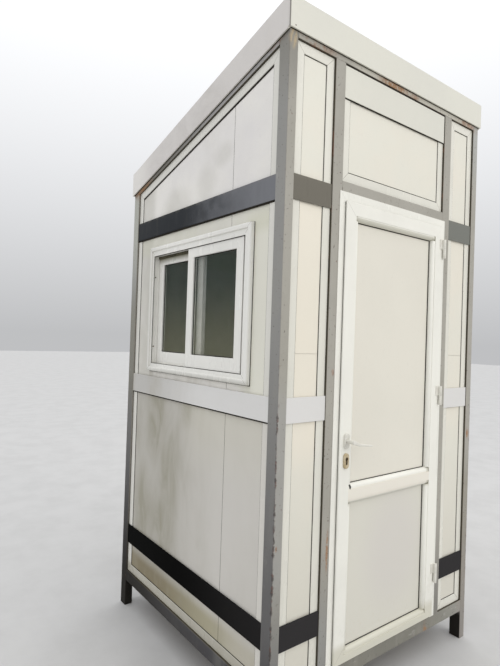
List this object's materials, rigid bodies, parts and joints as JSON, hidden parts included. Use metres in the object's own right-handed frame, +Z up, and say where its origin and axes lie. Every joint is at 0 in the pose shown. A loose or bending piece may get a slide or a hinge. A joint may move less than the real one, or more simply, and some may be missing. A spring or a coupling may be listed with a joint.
{
  "type": "security guard booth",
  "caption": "Tall narrow guard booth: steel tube frame with white panel walls and dark bands, a hinged door with a lever, a sliding window in each side and a single-pitch roof.",
  "frame": {"origin": "on the ground, under the middle of the booth's outer box; the feet stand on z = 0", "axes": "+Z up, +Y from the door side to the back, +X to the right seen from the door side"},
  "size_m": [1.4, 1.432, 2.886],
  "materials": {
    "painted_steel": "worn grey paint",
    "white_profile": "satin",
    "white_panel": "satin",
    "dark_band": "satin",
    "roof_metal": "satin",
    "floor_wood": "matte",
    "window_glass": "gloss",
    "white_metal": "satin",
    "brass_plate": "satin",
    "lock_steel": "dark",
    "bare_steel": "bare"
  },
  "bodies": {
    "booth": {"front_corner_posts": "painted_steel", "back_corner_posts": "painted_steel", "door_posts": "painted_steel", "front_top_rail": "painted_steel", "back_top_rail": "painted_steel", "side_top_rails": "painted_steel", "front_bottom_beam": "painted_steel", "back_bottom_beam": "painted_steel", "side_bottom_beams": "painted_steel", "door_header": "painted_steel", "floor_bearers": "painted_steel", "floor_board": "floor_wood", "door_side_trims": "white_profile", "door_side_panels": "white_panel", "transom_trim": "white_profile", "transom_panel": "white_panel", "transom_board": "white_panel", "back_wall_trim": "white_profile", "back_wall_panel": "white_panel", "side_wall_trims": "white_profile", "side_wall_panels": "white_panel", "upper_dark_bands": "dark_band", "mid_white_bands": "white_panel", "lower_dark_bands": "dark_band", "front_fascia": "white_panel", "side_fascias": "white_panel", "back_fascia": "white_panel", "roof_sheet": "roof_metal", "left_window_frame": "white_profile", "right_window_frame": "white_profile", "left_window_outer_sash": "white_profile", "right_window_outer_sash": "white_profile", "left_window_inner_sash": "white_profile", "right_window_inner_sash": "white_profile", "window_panes": "window_glass", "door_frame": "white_profile", "hinge_frame_halves": "white_metal"},
    "door": {"door_leaf": "white_profile", "door_panels": "white_panel", "hinge_leaf_halves": "white_metal", "lever_plates": "white_metal", "keyhole_plates": "brass_plate", "lock_cylinder": "lock_steel"},
    "handle": {"outside_lever": "white_metal", "inside_lever": "white_metal", "lever_spindle": "bare_steel"}
  },
  "joints": [
    {"name": "door_swing", "type": "hinge", "parent": "booth", "child": "door", "pos_m": [0.359, -0.677, 1.2], "axis": [0, 0, 1], "range_deg": [0, 170]},
    {"name": "lever_turn", "type": "hinge", "parent": "door", "child": "handle", "pos_m": [-0.318, -0.7, 1.154], "axis": [0, 1, 0], "range_deg": [0, 40], "stiffness_Nm_per_rad": 1.5, "springref_deg": -20.05}
  ]
}
